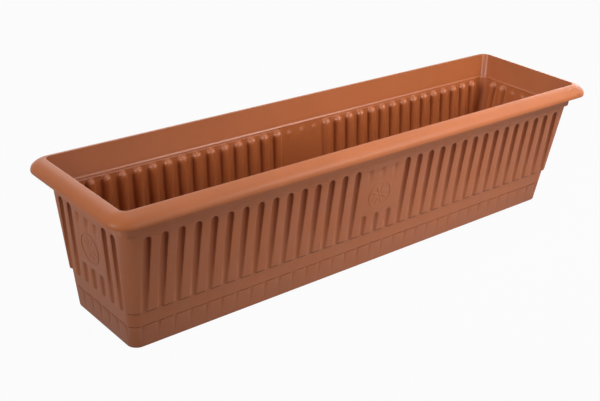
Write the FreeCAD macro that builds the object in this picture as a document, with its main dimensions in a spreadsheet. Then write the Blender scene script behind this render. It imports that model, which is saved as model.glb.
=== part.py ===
"""Window box planter: a fluted trough with a rolled rim, standing in a flush drip tray.

Millimetres, +Z up, +X along the box. The origin is the middle of the tray's underside.
An inset is measured inwards from the outermost edge of the rim, so that every wall of
the box is one number at each height.
"""
import FreeCAD, Part

import math
import os

import Sketcher

SIZES = (
    # the whole box
    ("trough_length", 600.0, "over the rim, along X"),
    ("trough_width", 157.0, "over the rim, along Y"),
    ("overall_height", 141.0, "table to the crown of the rim"),
    # rolled rim
    ("rim_width", 13.6, "outermost edge to the inner wall, at the crown"),
    ("rim_depth", 11.0, "crown down to the lip"),
    ("rim_crown_radius", 22.0, "fall of the top from the inner edge outwards"),
    ("rim_crown_reach", 3.4, "centre of that arc, measured inwards from the inner edge"),
    ("rim_edge_radius", 6.0, "rounding from the top into the side"),
    ("rim_wall", 2.4, "thickness of the rolled rim"),
    ("rim_corner_radius", 20.0, "outermost corner seen from above"),
    # walls
    ("collar_inset", 12.3, "smooth band right under the rim"),
    ("collar_fall", 2.6, "how much the band closes in on its way down"),
    ("top_fall", 3.4, "the same for the inner face of the band"),
    ("shoulder_height", 115.8, "underside of the collar"),
    ("inner_shoulder_height", 114.6, "foot of the bevel on the shoulder inside"),
    ("shoulder_bevel", 1.1, "height of that bevel"),
    ("land_inset", 15.6, "fluted wall at the shoulder"),
    ("wall_slope", 0.1007, "horizontal run for each millimetre of height"),
    ("ledge_height", 37.8, "underside of the fluted wall"),
    ("ledge_step", 2.0, "plain band behind the fluted wall"),
    ("corner_radius", 11.0, "vertical corners of the fluted wall"),
    ("foot_corner_radius", 9.5, "vertical corners of the plain band and the tray"),
    ("wall", 2.0, "trough wall"),
    # flutes
    ("flute_pitch", 16.4, "spacing on the long walls"),
    ("end_pitch", 14.4, "spacing on the end walls"),
    ("flute_count", 15, "full flutes each side of a long wall's medallion"),
    ("end_flute_count", 2, "full flutes each side of an end wall's medallion"),
    ("stub_count", 3, "flutes broken by the medallion panel"),
    ("flute_radius", 3.6, "nose of the flute"),
    ("flute_flare", 0.1, "opening of the flanks for each millimetre outwards"),
    ("flute_depth", 6.0, "at the top of the flute"),
    ("flute_top", 111.2, "crown of the flute"),
    ("flute_skin", 1.3, "wall behind a flute"),
    ("flute_runout", 0.2, "what is left of the ledge below a flute"),
    ("low_stub_top", 59.0, "crown of the short flutes under the medallion"),
    ("high_stub_top", 109.0, "crown of the short flutes over the medallion"),
    ("high_stub_foot", 97.0, "where they run out in the panel"),
    ("high_stub_depth", 2.2, "at their crown"),
    # medallion
    ("medallion_height", 79.0, "its centre above the table"),
    ("medallion_radius", 14.0, "centre line of its ring"),
    ("medallion_bead", 0.5, "half thickness of the ring"),
    ("medallion_button", 1.7, "radius of the button in the middle"),
    ("petal_reach", 6.8, "middle of a petal from the centre"),
    ("petal_length", 4.3, "half the length of a petal"),
    ("petal_width", 1.7, "half its width"),
    ("petal_relief", 0.5, "how far petals and button stand out of the wall"),
    # drip tray
    ("tray_height", 21.6, "top edge of the tray"),
    ("seam_gap", 0.6, "open joint between tray and trough"),
    ("tray_wall", 2.2, "tray wall"),
    ("tray_floor", 2.0, "tray floor"),
    ("plug_gap", 0.5, "clearance of the trough's foot inside the tray"),
    ("tray_flute_top", 26.0, "crown of their cutter, clear above the tray's open edge"),
    ("tray_flute_depth", 1.2, "depth of the tray's flutes at that edge"),
    ("tray_flute_foot", 4.0, "where they run out above the table"),
    # trough floor
    ("floor_underside", 10.0, "height of the trough floor above the table"),
    ("floor_thickness", 2.2, "trough floor"),
    ("foot_radius", 7.0, "feet that stand on the tray floor"),
    ("foot_spacing_x", 154.0, "between feet along the box"),
    ("foot_spacing_y", 50.0, "between the two rows of feet"),
    ("drain_radius", 3.5, "drain holes in the trough floor"),
    ("drain_spacing_x", 77.0, "between drain holes along the box"),
    ("drain_spacing_y", 24.0, "between the two rows of drain holes"),
)
FEET_PER_ROW = 4
DRAINS_PER_ROW = 7
PETALS = 8

CCW, CW = 1, -1
FRONT, END = 0.0, -90.0

doc = FreeCAD.newDocument("window_box_planter")


def fill_sheet():
    """Driving dimensions: name, value and note, one row each."""
    sheet = doc.addObject("Spreadsheet::Sheet", "Sizes")
    for row, (alias, value, note) in enumerate(SIZES, start=1):
        sheet.set(f"A{row}", alias)
        sheet.set(f"B{row}", str(value))
        sheet.set(f"C{row}", note)
        sheet.setAlias(f"B{row}", alias)
    doc.recompute()


fill_sheet()


# ---------------------------------------------------------------- insets and levels


def land(z):
    """Inset of the fluted wall's lands at height z."""
    return f"(Sizes.land_inset + (Sizes.shoulder_height - ({z})) * Sizes.wall_slope)"


def band(z):
    """Inset of the plain band and of the tray's outer face, which are flush."""
    return f"({land(z)} + Sizes.ledge_step)"


def plug(z):
    """Inset of the trough's foot inside the tray."""
    return f"({band(z)} + Sizes.tray_wall + Sizes.plug_gap)"


BAND_FOOT = "(Sizes.tray_height + Sizes.seam_gap)"
FLOOR_TOP = "(Sizes.floor_underside + Sizes.floor_thickness)"
COLLAR_TOP = "(Sizes.overall_height - Sizes.rim_wall / 2)"
PLUG_RADIUS = "(Sizes.foot_corner_radius - Sizes.tray_wall - Sizes.plug_gap)"


# ---------------------------------------------------------------- sketches


def origin_plane(body, role):
    return next(item for item in body.Origin.OriginFeatures if item.Role == role)


def number(sketch, expression):
    return float(sketch.evalExpression(expression))


def arc_geometry(start, end, radius, turn):
    """Arc under a half circle from start to end, turning CCW or CW."""
    chord = end - start
    rise = math.sqrt(max(radius ** 2 - chord.Length ** 2 / 4, 0.0))
    normal = FreeCAD.Vector(-chord.y, chord.x, 0).normalize()
    centre = (start + end) * 0.5 + normal * rise * turn
    first, last = (start, end) if turn == CCW else (end, start)
    angle_one = math.atan2(first.y - centre.y, first.x - centre.x)
    angle_two = math.atan2(last.y - centre.y, last.x - centre.x)
    if angle_two < angle_one:
        angle_two += 2 * math.pi
    circle = Part.Circle(centre, FreeCAD.Vector(0, 0, 1), radius)
    return Part.ArcOfCircle(circle, angle_one, angle_two)


def outline(body, name, corners, plane="XY_Plane", place=("0", "0", "0"), turned=0.0):
    """Closed sketch through corners (x, y) or (x, y, radius, turn), all bound to the sheet.

    A corner with a radius starts an arc to the next corner, and any other one a line.
    """
    sketch = body.newObject("Sketcher::SketchObject", name)
    sketch.AttachmentSupport = (origin_plane(body, plane), [""])
    sketch.MapMode = "FlatFace"
    about_z = FreeCAD.Rotation(FreeCAD.Vector(0, 0, 1), turned)
    sketch.AttachmentOffset = FreeCAD.Placement(FreeCAD.Vector(), about_z)
    for axis, expression in zip("xyz", place):
        sketch.setExpression(f"AttachmentOffset.Base.{axis}", expression)
    points = [FreeCAD.Vector(number(sketch, c[0]), number(sketch, c[1]), 0) for c in corners]
    ends = []
    for index, corner in enumerate(corners):
        start, end = points[index], points[(index + 1) % len(points)]
        if len(corner) == 2:
            sketch.addGeometry(Part.LineSegment(start, end))
        else:
            sketch.addGeometry(arc_geometry(start, end, number(sketch, corner[2]), corner[3]))
        clockwise = len(corner) > 2 and corner[3] == CW
        ends.append((2, 1) if clockwise else (1, 2))
    for index, corner in enumerate(corners):
        bind(sketch, corner[0], "DistanceX", -1, 1, index, ends[index][0])
        bind(sketch, corner[1], "DistanceY", -1, 1, index, ends[index][0])
        if len(corner) > 2:
            bind(sketch, corner[2], "Radius", index)
        following = (index + 1) % len(corners)
        join = Sketcher.Constraint("Coincident", index, ends[index][1], following, ends[following][0])
        sketch.addConstraint(join)
    return sketch


def bind(sketch, expression, kind, *places):
    """One constraint whose value is an expression on the sheet."""
    added = sketch.addConstraint(Sketcher.Constraint(kind, *places, number(sketch, expression)))
    sketch.setExpression(f"Constraints[{added}]", expression)


def rounded(inset, radius):
    """Corners of a rounded rectangle at an inset. It starts in the middle of the front."""
    x = f"(Sizes.trough_length / 2 - {inset})"
    y = f"(Sizes.trough_width / 2 - {inset})"
    return [
        ("0", f"-{y}"),
        (f"{x} - {radius}", f"-{y}", radius, CCW),
        (x, f"-{y} + {radius}"),
        (x, f"{y} - {radius}", radius, CCW),
        (f"{x} - {radius}", y),
        (f"-{x} + {radius}", y, radius, CCW),
        (f"-{x}", f"{y} - {radius}"),
        (f"-{x}", f"-{y} + {radius}", radius, CCW),
        (f"-{x} + {radius}", f"-{y}"),
    ]


def level(body, name, z, inset, radius):
    return outline(body, name, rounded(inset, radius), place=("0", "0", z))


def tier(body, name, lower, upper, radius, kind="PartDesign::AdditiveLoft"):
    """Straight-sided storey between two levels, each a pair of height and inset."""
    foot = level(body, f"{name}_foot", *lower, radius)
    head = level(body, f"{name}_head", *upper, radius)
    loft = body.newObject(kind, name)
    loft.Profile = foot
    loft.Sections = [head]
    loft.Ruled = True
    return loft


# ---------------------------------------------------------------- trough, filled form


def rim_profile():
    """Section of the rolled rim: an upside-down channel with its lip outside.

    Its top falls outwards from the inner edge in one wide arc, which a tighter one
    carries on into the upright side.
    """
    def across(inset):
        return f"-(Sizes.trough_width / 2 - ({inset}))"

    top = "Sizes.overall_height"
    lip = f"({top} - Sizes.rim_depth)"
    wide, tight, reach = "Sizes.rim_crown_radius", "Sizes.rim_edge_radius", "Sizes.rim_crown_reach"
    inner_wide, inner_tight = f"({wide} - Sizes.rim_wall)", f"({tight} - Sizes.rim_wall)"
    centre = f"(Sizes.rim_width + {reach})"
    base = f"({top} - sqrt({wide} ^ 2 - {reach} ^ 2))"
    roof = f"({base} + sqrt({inner_wide} ^ 2 - {reach} ^ 2))"
    run = f"({centre} - {tight})"
    rise = f"sqrt(({wide} - {tight}) ^ 2 - {run} ^ 2)"
    side = f"({base} + {rise})"
    tongue = "(Sizes.rim_width + Sizes.rim_wall)"

    def meeting(radius):
        share = f"({radius} / ({wide} - {tight}))"
        return across(f"{centre} - {run} * {share}"), f"{base} + {rise} * {share}"

    return [
        (across("Sizes.rim_wall"), lip),
        (across("Sizes.rim_wall"), side, inner_tight, CW),
        (*meeting(inner_wide), inner_wide, CW),
        (across("Sizes.rim_width"), roof),
        (across("Sizes.rim_width"), lip),
        (across(tongue), lip),
        (across(tongue), top),
        (across("Sizes.rim_width"), top, wide, CCW),
        (*meeting(wide), tight, CCW),
        (across("0"), side),
        (across("0"), lip),
    ]


def rolled_rim(body):
    path_radius = "(Sizes.rim_corner_radius - Sizes.rim_width)"
    path = level(body, "rim_path", "Sizes.overall_height", "Sizes.rim_width", path_radius)
    section = outline(body, "rim_section", rim_profile(), plane="YZ_Plane")
    pipe = body.newObject("PartDesign::AdditivePipe", "rolled_rim")
    pipe.Spine = (path, [])
    pipe.Profile = section
    return pipe


def trough_form():
    """Outside of the trough as a solid block with its rolled rim."""
    body = doc.addObject("PartDesign::Body", "trough_form")
    shoulder, ledge = "Sizes.shoulder_height", "Sizes.ledge_height"
    underside = "Sizes.floor_underside"
    collar_foot = "(Sizes.collar_inset + Sizes.collar_fall)"
    collar_radius = "(Sizes.rim_corner_radius - Sizes.collar_inset)"
    foot_corner = "Sizes.foot_corner_radius"
    tier(body, "plug", (underside, plug(underside)), (BAND_FOOT, plug(BAND_FOOT)), PLUG_RADIUS)
    tier(body, "band", (BAND_FOOT, band(BAND_FOOT)), (ledge, band(ledge)), foot_corner)
    tier(body, "fluted_wall", (ledge, land(ledge)), (shoulder, land(shoulder)), "Sizes.corner_radius")
    tier(body, "collar", (shoulder, collar_foot), (COLLAR_TOP, "Sizes.collar_inset"), collar_radius)
    rolled_rim(body)
    return body


def trough_space():
    """Hollow of the trough: the same storeys, one wall further in and one wall higher."""
    body = doc.addObject("PartDesign::Body", "trough_space")
    band_foot = f"({BAND_FOOT} + Sizes.wall)"
    ledge = "(Sizes.ledge_height + Sizes.wall)"
    shoulder = "Sizes.inner_shoulder_height"
    bevel_top = f"({shoulder} + Sizes.shoulder_bevel)"
    top = "Sizes.overall_height"
    above = f"({top} + Sizes.rim_wall)"
    top_foot = "(Sizes.rim_width + Sizes.top_fall)"
    inner_corner = "(Sizes.corner_radius - Sizes.wall)"
    band_corner = "(Sizes.foot_corner_radius - Sizes.wall)"
    top_corner = "(Sizes.rim_corner_radius - Sizes.rim_width)"
    plug_corner = f"({PLUG_RADIUS} - Sizes.wall)"

    def inside(inset):
        return f"({inset} + Sizes.wall)"

    tier(body, "foot_space", (FLOOR_TOP, inside(plug(FLOOR_TOP))),
         (band_foot, inside(plug(band_foot))), plug_corner)
    tier(body, "band_space", (band_foot, inside(band(band_foot))),
         (ledge, inside(band(ledge))), band_corner)
    tier(body, "wall_space", (ledge, inside(land(ledge))),
         (shoulder, inside(land(shoulder))), inner_corner)
    tier(body, "shoulder_space", (shoulder, f"({top_foot} + Sizes.shoulder_bevel)"),
         (bevel_top, top_foot), top_corner)
    tier(body, "top_space", (bevel_top, top_foot), (top, "Sizes.rim_width"), top_corner)
    tier(body, "mouth_space", (top, "Sizes.rim_width"), (above, "Sizes.rim_width"), top_corner)
    return body


# ---------------------------------------------------------------- flutes


def between(z, low, high):
    """Inset on the straight line through two pairs of height and inset."""
    share = f"(({z} - {low[0]}) / ({high[0]} - {low[0]}))"
    return f"({low[1]} + ({high[1]} - {low[1]}) * {share})"


def flute_row(name, wall, start, pitch, count, crown, foot, nose, skin):
    """Row of ball-nosed slots, all alike: a straight run with a turned dome on top.

    nose gives the inset of the nose's centre at a height. skin makes every face stand
    that much further in, for the back of the same flutes.
    """
    body = doc.addObject("PartDesign::Body", name)
    body.AllowCompound = True
    radius = f"(Sizes.flute_radius + {skin})"
    reach = "(2 * Sizes.flute_depth)"
    mouth = f"({radius} + Sizes.flute_flare * {reach})"
    dome = f"({crown} - Sizes.flute_radius)"
    along, out = (start, "-Sizes.trough_width / 2"), ("-Sizes.trough_length / 2", start)
    centre = along if wall == FRONT else out

    def slot(z):
        inset = nose(z)
        return [
            (f"-{mouth}", f"{inset} - {reach}"),
            (f"{mouth}", f"{inset} - {reach}"),
            (radius, inset, radius, CCW),
            ("0", f"{inset} + {radius}", radius, CCW),
            (f"-{radius}", inset),
        ]

    top = outline(body, f"{name}_top", slot(dome), place=(*centre, dome), turned=wall)
    low = outline(body, f"{name}_low", slot(foot), place=(*centre, foot), turned=wall)
    run = body.newObject("PartDesign::AdditiveLoft", f"{name}_run")
    run.Profile = top
    run.Sections = [low]
    run.Ruled = True
    inset = nose(dome)
    half = [
        ("0", f"{inset} - {reach}"),
        (mouth, f"{inset} - {reach}"),
        (radius, inset, radius, CCW),
        ("0", f"{inset} + {radius}"),
    ]
    profile = outline(body, f"{name}_half", half, place=(*centre, dome), turned=wall)
    head = body.newObject("PartDesign::Revolution", f"{name}_dome")
    head.Profile = profile
    head.ReferenceAxis = (profile, ["V_Axis"])
    head.Angle = 180
    head.Reversed = True
    row = body.newObject("PartDesign::LinearPattern", f"{name}_pattern")
    row.Originals = [run, head]
    row.Direction = (profile, ["H_Axis"])
    row.setExpression("Length", f"{pitch} * ({count} - 1)")
    row.setExpression("Occurrences", count)
    body.Tip = row
    return body


def mirrored(source, *normals):
    """The source and its mirror images, one after another."""
    family = [source]
    for normal in normals:
        for member in list(family):
            image = doc.addObject("Part::Mirroring", f"{member.Name}_mirror")
            image.Source = member
            image.Normal = normal
            family.append(image)
    return family


ALONG, ACROSS = FreeCAD.Vector(1, 0, 0), FreeCAD.Vector(0, 1, 0)


def trough_flutes(tag, skin):
    """Every flute of the trough on all four walls."""
    ledge = "Sizes.ledge_height"
    foot = f"({ledge} - Sizes.wall)"
    dome = "(Sizes.flute_top - Sizes.flute_radius)"
    stub_dome = "(Sizes.high_stub_top - Sizes.flute_radius)"
    full_low = (ledge, f"({band(ledge)} - Sizes.flute_runout - Sizes.flute_radius)")
    full_high = (dome, f"({land(dome)} + Sizes.flute_depth - Sizes.flute_radius)")
    stub_low = ("Sizes.high_stub_foot", f"({land('Sizes.high_stub_foot')} - Sizes.flute_radius)")
    stub_high = (stub_dome, f"({land(stub_dome)} + Sizes.high_stub_depth - Sizes.flute_radius)")

    def full(z):
        return between(z, full_low, full_high)

    def high(z):
        return between(z, stub_low, stub_high)

    members = []
    for wall, pitch, count, word in ((FRONT, "Sizes.flute_pitch", "Sizes.flute_count", "long"),
                                     (END, "Sizes.end_pitch", "Sizes.end_flute_count", "end")):
        opposite = ACROSS if wall == FRONT else ALONG
        first = f"{pitch} * (Sizes.stub_count + 1) / 2"
        stub = f"{pitch} * (1 - Sizes.stub_count) / 2"
        sign = "-1 * " if wall == END else ""
        rows = flute_row(f"{tag}_{word}_flutes", wall, f"{sign}{first}", pitch, count,
                         "Sizes.flute_top", foot, full, skin)
        members += mirrored(rows, ALONG, ACROSS)
        low = flute_row(f"{tag}_{word}_low_stubs", wall, f"{sign}{stub}", pitch, "Sizes.stub_count",
                        "Sizes.low_stub_top", foot, full, skin)
        members += mirrored(low, opposite)
        top = flute_row(f"{tag}_{word}_high_stubs", wall, f"{sign}{stub}", pitch, "Sizes.stub_count",
                        "Sizes.high_stub_top", "Sizes.high_stub_foot", high, skin)
        members += mirrored(top, opposite)
    group = doc.addObject("Part::Compound", f"{tag}_flutes")
    group.Links = members
    return group


def cut(name, base, tool):
    result = doc.addObject("Part::Cut", name)
    result.Base = base
    result.Tool = tool
    return result


# ---------------------------------------------------------------- medallions


def relief(kind, name, sizes, angle=0.0, reach=None):
    """Small round form lying on the medallion's plane, turned about its middle."""
    form = doc.addObject(kind, name)
    for prop, expression in sizes.items():
        form.setExpression(prop, expression)
    form.Placement.Rotation = FreeCAD.Rotation(FreeCAD.Vector(0, 0, 1), angle)
    if reach:
        form.setExpression("Placement.Base.x", f"{reach} * {math.cos(math.radians(angle))}")
        form.setExpression("Placement.Base.y", f"{reach} * {math.sin(math.radians(angle))}")
    return form


def medallion(name, wall):
    """Ring, petals and a button, half sunk in the middle of a wall."""
    forms = [
        relief("Part::Torus", f"{name}_ring",
               {"Radius1": "Sizes.medallion_radius", "Radius2": "Sizes.medallion_bead"}),
        relief("Part::Ellipsoid", f"{name}_button",
               {"Radius1": "Sizes.petal_relief", "Radius2": "Sizes.medallion_button",
                "Radius3": "Sizes.medallion_button"}),
    ]
    petal = {"Radius1": "Sizes.petal_relief", "Radius2": "Sizes.petal_length",
             "Radius3": "Sizes.petal_width"}
    for index in range(PETALS):
        angle = 360.0 * (index + 0.5) / PETALS
        forms.append(relief("Part::Ellipsoid", f"{name}_petal_{index + 1}", petal, angle,
                            "Sizes.petal_reach"))
    group = doc.addObject("Part::Compound", name)
    group.Links = forms
    height = "Sizes.medallion_height"
    axis = FreeCAD.Vector(1, 0, 0) if wall == FRONT else FreeCAD.Vector(0, 1, 0)
    group.Placement.Rotation = FreeCAD.Rotation(axis, 90)
    group.setExpression("Placement.Rotation.Angle", "90 deg + atan(Sizes.wall_slope)")
    if wall == FRONT:
        group.setExpression("Placement.Base.y", f"{land(height)} - Sizes.trough_width / 2")
    else:
        group.setExpression("Placement.Base.x", f"Sizes.trough_length / 2 - {land(height)}")
    group.setExpression("Placement.Base.z", height)
    return mirrored(group, ACROSS if wall == FRONT else ALONG)


# ---------------------------------------------------------------- feet and drains


def grid(prefix, per_row, spacing_x, spacing_y, radius, low, high):
    """Upright cylinders in two rows, centred on the box."""
    pegs = []
    for row in (-1, 1):
        for index in range(per_row):
            peg = doc.addObject("Part::Cylinder", f"{prefix}_{len(pegs) + 1}")
            peg.setExpression("Radius", radius)
            peg.setExpression("Height", f"{high} - {low}")
            peg.setExpression("Placement.Base.x", f"{index - (per_row - 1) / 2} * {spacing_x}")
            peg.setExpression("Placement.Base.y", f"{row} * {spacing_y} / 2")
            peg.setExpression("Placement.Base.z", low)
            pegs.append(peg)
    return pegs


def build_trough():
    feet = grid("foot", FEET_PER_ROW, "Sizes.foot_spacing_x", "Sizes.foot_spacing_y",
                "Sizes.foot_radius", "Sizes.tray_floor", FLOOR_TOP)
    drains = grid("drain", DRAINS_PER_ROW, "Sizes.drain_spacing_x", "Sizes.drain_spacing_y",
                  "Sizes.drain_radius", "0", f"({FLOOR_TOP} + Sizes.floor_thickness)")
    footed = doc.addObject("Part::MultiFuse", "footed_form")
    medallions = medallion("long_medallion", FRONT) + medallion("end_medallion", END)
    footed.Shapes = [trough_form(), *feet, *medallions]
    holes = doc.addObject("Part::Compound", "drain_holes")
    holes.Links = drains
    drained = cut("drained_form", footed, holes)
    outside = cut("fluted_form", drained, trough_flutes("outer", "0"))
    inside = cut("fluted_space", trough_space(), trough_flutes("inner", "Sizes.flute_skin"))
    trough = cut("trough", outside, inside)
    trough.Label = "trough"
    return trough


# ---------------------------------------------------------------- drip tray


def build_tray():
    top = "Sizes.tray_height"
    above = f"({top} + Sizes.tray_floor)"
    inner_corner = "(Sizes.foot_corner_radius - Sizes.tray_wall)"
    body = doc.addObject("PartDesign::Body", "tray_form")
    tier(body, "tray_block", ("0", band("0")), (top, band(top)), "Sizes.foot_corner_radius")
    tier(body, "tray_space", ("Sizes.tray_floor", f"({band('Sizes.tray_floor')} + Sizes.tray_wall)"),
         (above, f"({band(above)} + Sizes.tray_wall)"), inner_corner, "PartDesign::SubtractiveLoft")
    dome = "(Sizes.tray_flute_top - Sizes.flute_radius)"
    low = ("Sizes.tray_flute_foot", f"({band('Sizes.tray_flute_foot')} - Sizes.flute_radius)")
    high = (dome, f"({band(dome)} + Sizes.tray_flute_depth - Sizes.flute_radius)")

    def nose(z):
        return between(z, low, high)

    members = []
    for wall, pitch, count, word in ((FRONT, "Sizes.flute_pitch", "Sizes.flute_count", "long"),
                                     (END, "Sizes.end_pitch", "Sizes.end_flute_count", "end")):
        total = f"(2 * {count} + Sizes.stub_count)"
        sign = "-1 * " if wall == END else ""
        row = flute_row(f"tray_{word}_flutes", wall, f"{sign}{pitch} * (1 - {total}) / 2", pitch, total,
                        "Sizes.tray_flute_top", "Sizes.tray_flute_foot", nose, "0")
        members += mirrored(row, ACROSS if wall == FRONT else ALONG)
    group = doc.addObject("Part::Compound", "tray_flutes")
    group.Links = members
    tray = cut("drip_tray", body, group)
    tray.Label = "drip_tray"
    return tray


def check(parts):
    """Stop before anything is written if a feature failed or a piece isn't a sound solid."""
    failed = [item.Name for item in doc.Objects if {"Invalid", "Error"} & set(item.State)]
    if failed:
        raise RuntimeError(f"features that failed: {failed}")
    for part in parts:
        shape = part.Shape
        if shape.isNull() or not shape.isValid() or len(shape.Solids) != 1:
            raise RuntimeError(f"{part.Label} is not one sound solid")
        box = shape.optimalBoundingBox()
        print(f"{part.Label}: {box.XLength:.2f} x {box.YLength:.2f} x {box.ZLength:.2f} mm, "
              f"{shape.Volume / 1000:.1f} cm3, {len(shape.Faces)} faces")


sub_parts = [build_trough(), build_tray()]
doc.recompute()
check(sub_parts)
os.makedirs("parts", exist_ok=True)
for part in sub_parts:
    part.Shape.exportStep(f"parts/{part.Label}.step")
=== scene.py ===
# %% [markdown]
# This lesson dresses a window box planter: a long fluted trough of moulded terracotta
# plastic with a rolled rim, standing in a drip tray. The measured parts come first, because
# everything that is built here has to sit exactly where they are.

# %% Load the measured parts
import math

import bmesh
import bpy
from mathutils import Matrix, Vector


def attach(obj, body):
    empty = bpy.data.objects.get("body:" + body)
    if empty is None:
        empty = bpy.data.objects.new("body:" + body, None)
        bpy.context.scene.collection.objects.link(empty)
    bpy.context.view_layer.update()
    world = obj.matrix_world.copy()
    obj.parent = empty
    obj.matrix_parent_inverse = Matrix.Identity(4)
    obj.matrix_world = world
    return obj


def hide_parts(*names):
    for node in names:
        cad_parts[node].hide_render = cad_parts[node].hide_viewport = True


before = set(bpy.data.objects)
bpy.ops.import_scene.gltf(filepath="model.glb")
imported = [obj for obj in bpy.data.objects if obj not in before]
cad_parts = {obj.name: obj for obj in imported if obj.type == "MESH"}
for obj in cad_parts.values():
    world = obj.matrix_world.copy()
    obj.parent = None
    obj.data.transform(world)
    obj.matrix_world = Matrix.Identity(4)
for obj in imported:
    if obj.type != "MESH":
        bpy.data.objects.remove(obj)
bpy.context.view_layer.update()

MM = 0.001

# %% [markdown]
# The real box is 60 cm long. Its walls lean outwards, so a point on a wall is given by its
# height and its inset, which is how far in from the outermost edge of the rim it lies. Three
# short functions then say where the fluted wall, the plain band below it and the foot inside
# the tray are at any height.

# %% Sizes in millimetres
LENGTH, WIDTH, HEIGHT = 600.0, 157.0, 141.0
RIM_WIDTH, RIM_DEPTH, RIM_WALL, RIM_CORNER = 13.6, 11.0, 2.4, 20.0
RIM_WIDE, RIM_TIGHT, RIM_REACH = 22.0, 6.0, 3.4
COLLAR_TOP_INSET, COLLAR_FALL, TOP_FALL = 12.3, 2.6, 3.4
SHOULDER, INNER_SHOULDER, BEVEL = 115.8, 114.6, 1.1
LAND_INSET, SLOPE = 15.6, 0.1007
LEDGE, LEDGE_STEP = 37.8, 2.0
CORNER, FOOT_CORNER, PLUG_CORNER, WALL = 11.0, 9.5, 6.8, 2.0
TRAY_TOP, SEAM, TRAY_WALL, TRAY_FLOOR, PLUG_GAP = 21.6, 0.6, 2.2, 2.0, 0.5
FLOOR_LOW, FLOOR_HIGH, PLUG_HIGH = 10.0, 12.2, 22.0
SOFT = 0.45          # rounding that a mould leaves on an edge


def land(z):
    """Inset of the fluted wall."""
    return LAND_INSET + (SHOULDER - z) * SLOPE


def band(z):
    """Inset of the plain band, and of the tray below it."""
    return land(z) + LEDGE_STEP


def plug(z):
    """Inset of the trough's foot, which stands inside the tray."""
    return band(z) + TRAY_WALL + PLUG_GAP


print("wall leans", round(math.degrees(math.atan(SLOPE)), 2), "degrees")

# %% [markdown]
# Flutes are the slots pressed into the walls. Each is a straight run with a round nose, and
# ends in a dome under the collar. Their middle lines stand one pitch apart, and the three in
# the middle of a wall are broken by the medallion's panel. The values below drive both the
# grid lines of the walls and, further down, the node tree that presses the flutes in.

# %% Flute sizes
PITCH, END_PITCH = 16.4, 14.4
LAST, END_LAST, FIRST_FULL = 16, 3, 2
FLUTE_R, FLARE, FLUTE_DEPTH, SKIN = 3.6, 0.1, 6.0, 1.3
FLUTE_TOP, RUNOUT = 111.2, 0.2
LOW_TOP, HIGH_TOP, HIGH_FOOT, HIGH_DEPTH = 59.0, 109.0, 97.0, 2.2
TRAY_FLUTE_TOP, TRAY_FLUTE_DEPTH, TRAY_FLUTE_FOOT = 26.0, 1.2, 4.0

DOME = FLUTE_TOP - FLUTE_R
HIGH_DOME = HIGH_TOP - FLUTE_R
TRAY_DOME = TRAY_FLUTE_TOP - FLUTE_R
NOSE_FOOT = band(LEDGE) - RUNOUT - FLUTE_R
NOSE_HEAD = land(DOME) + FLUTE_DEPTH - FLUTE_R
HIGH_NOSE_FOOT = land(HIGH_FOOT) - FLUTE_R
HIGH_NOSE_HEAD = land(HIGH_DOME) + HIGH_DEPTH - FLUTE_R
TRAY_NOSE_FOOT = band(TRAY_FLUTE_FOOT) - FLUTE_R
TRAY_NOSE_HEAD = band(TRAY_DOME) + TRAY_FLUTE_DEPTH - FLUTE_R
print("full flutes on a long wall", 2 * (LAST - FIRST_FULL + 1))

# %% [markdown]
# Node trees, for shapes and for materials alike, are written here as plain sums. A small
# class wraps a socket, and adding or multiplying two of them adds the Math node that does it.
# One method makes every other node from its type, its settings and what goes into it.

# %% A socket that does sums


class Net:
    """A node tree that is written as expressions."""

    def __init__(self, tree):
        self.tree = tree

    def node(self, kind, settings=(), **values):
        """New node. Its sockets are called by name, or by number with a line before it, as _0."""
        made = self.tree.nodes.new(kind)
        for name, value in dict(settings).items():
            setattr(made, name, value)
        for name, value in values.items():
            key = int(name[1:]) if name[1:].isdigit() else name
            self.feed(made.inputs[key], value)
        return made

    def feed(self, socket, value):
        """Link a socket into another, or set its value."""
        if isinstance(value, Sock):
            self.tree.links.new(value.socket, socket)
        elif isinstance(value, bpy.types.NodeSocket):
            self.tree.links.new(value, socket)
        else:
            socket.default_value = value

    def out(self, kind, settings=(), output=0, **values):
        """One output of a new node."""
        return Sock(self, self.node(kind, settings, **values).outputs[output])

    def math(self, operation, *values):
        made = {f"_{index}": value for index, value in enumerate(values)}
        return self.out("ShaderNodeMath", {"operation": operation}, **made)


class Sock:
    """One output socket with arithmetic."""

    def __init__(self, net, socket):
        self.net, self.socket = net, socket

    def __add__(self, other):
        return self.net.math("ADD", self, other)

    def __radd__(self, other):
        return self.net.math("ADD", other, self)

    def __sub__(self, other):
        return self.net.math("SUBTRACT", self, other)

    def __rsub__(self, other):
        return self.net.math("SUBTRACT", other, self)

    def __mul__(self, other):
        return self.net.math("MULTIPLY", self, other)

    def __rmul__(self, other):
        return self.net.math("MULTIPLY", other, self)

    def __truediv__(self, other):
        return self.net.math("DIVIDE", self, other)

    def __rtruediv__(self, other):
        return self.net.math("DIVIDE", other, self)

    def __gt__(self, other):
        return self.net.math("GREATER_THAN", self, other)

    def __lt__(self, other):
        return self.net.math("LESS_THAN", self, other)

    def least(self, other):
        return self.net.math("MINIMUM", self, other)

    def most(self, other):
        return self.net.math("MAXIMUM", self, other)

    def root(self):
        return self.net.math("SQRT", self.most(0.0))

    def size(self):
        return self.net.math("ABSOLUTE", self)

    def part(self, index):
        return self.net.out("ShaderNodeSeparateXYZ", output=index, _0=self)


print("a socket also knows", [name for name in vars(Sock) if not name.startswith("_")])

# %% [markdown]
# Terracotta plastic is one pigment all through, but it never looks flat. The moulding has a
# fine satin grain, slow clouds where the pigment mixed unevenly and faint flow marks running
# down the walls. The inside is smoother and coloured darker and richer, the outside carries a
# pale dust that also stands in for painted sheen, and a painted shadow lies under the ledge
# wherever a land stands over it. All this could be painted as an image, but noise read from
# Object coordinates needs none and sits on the piece. Two numbers stored on the mesh, polish
# and land, say where each finish and the painted shadow go.

# %% The plastic


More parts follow.
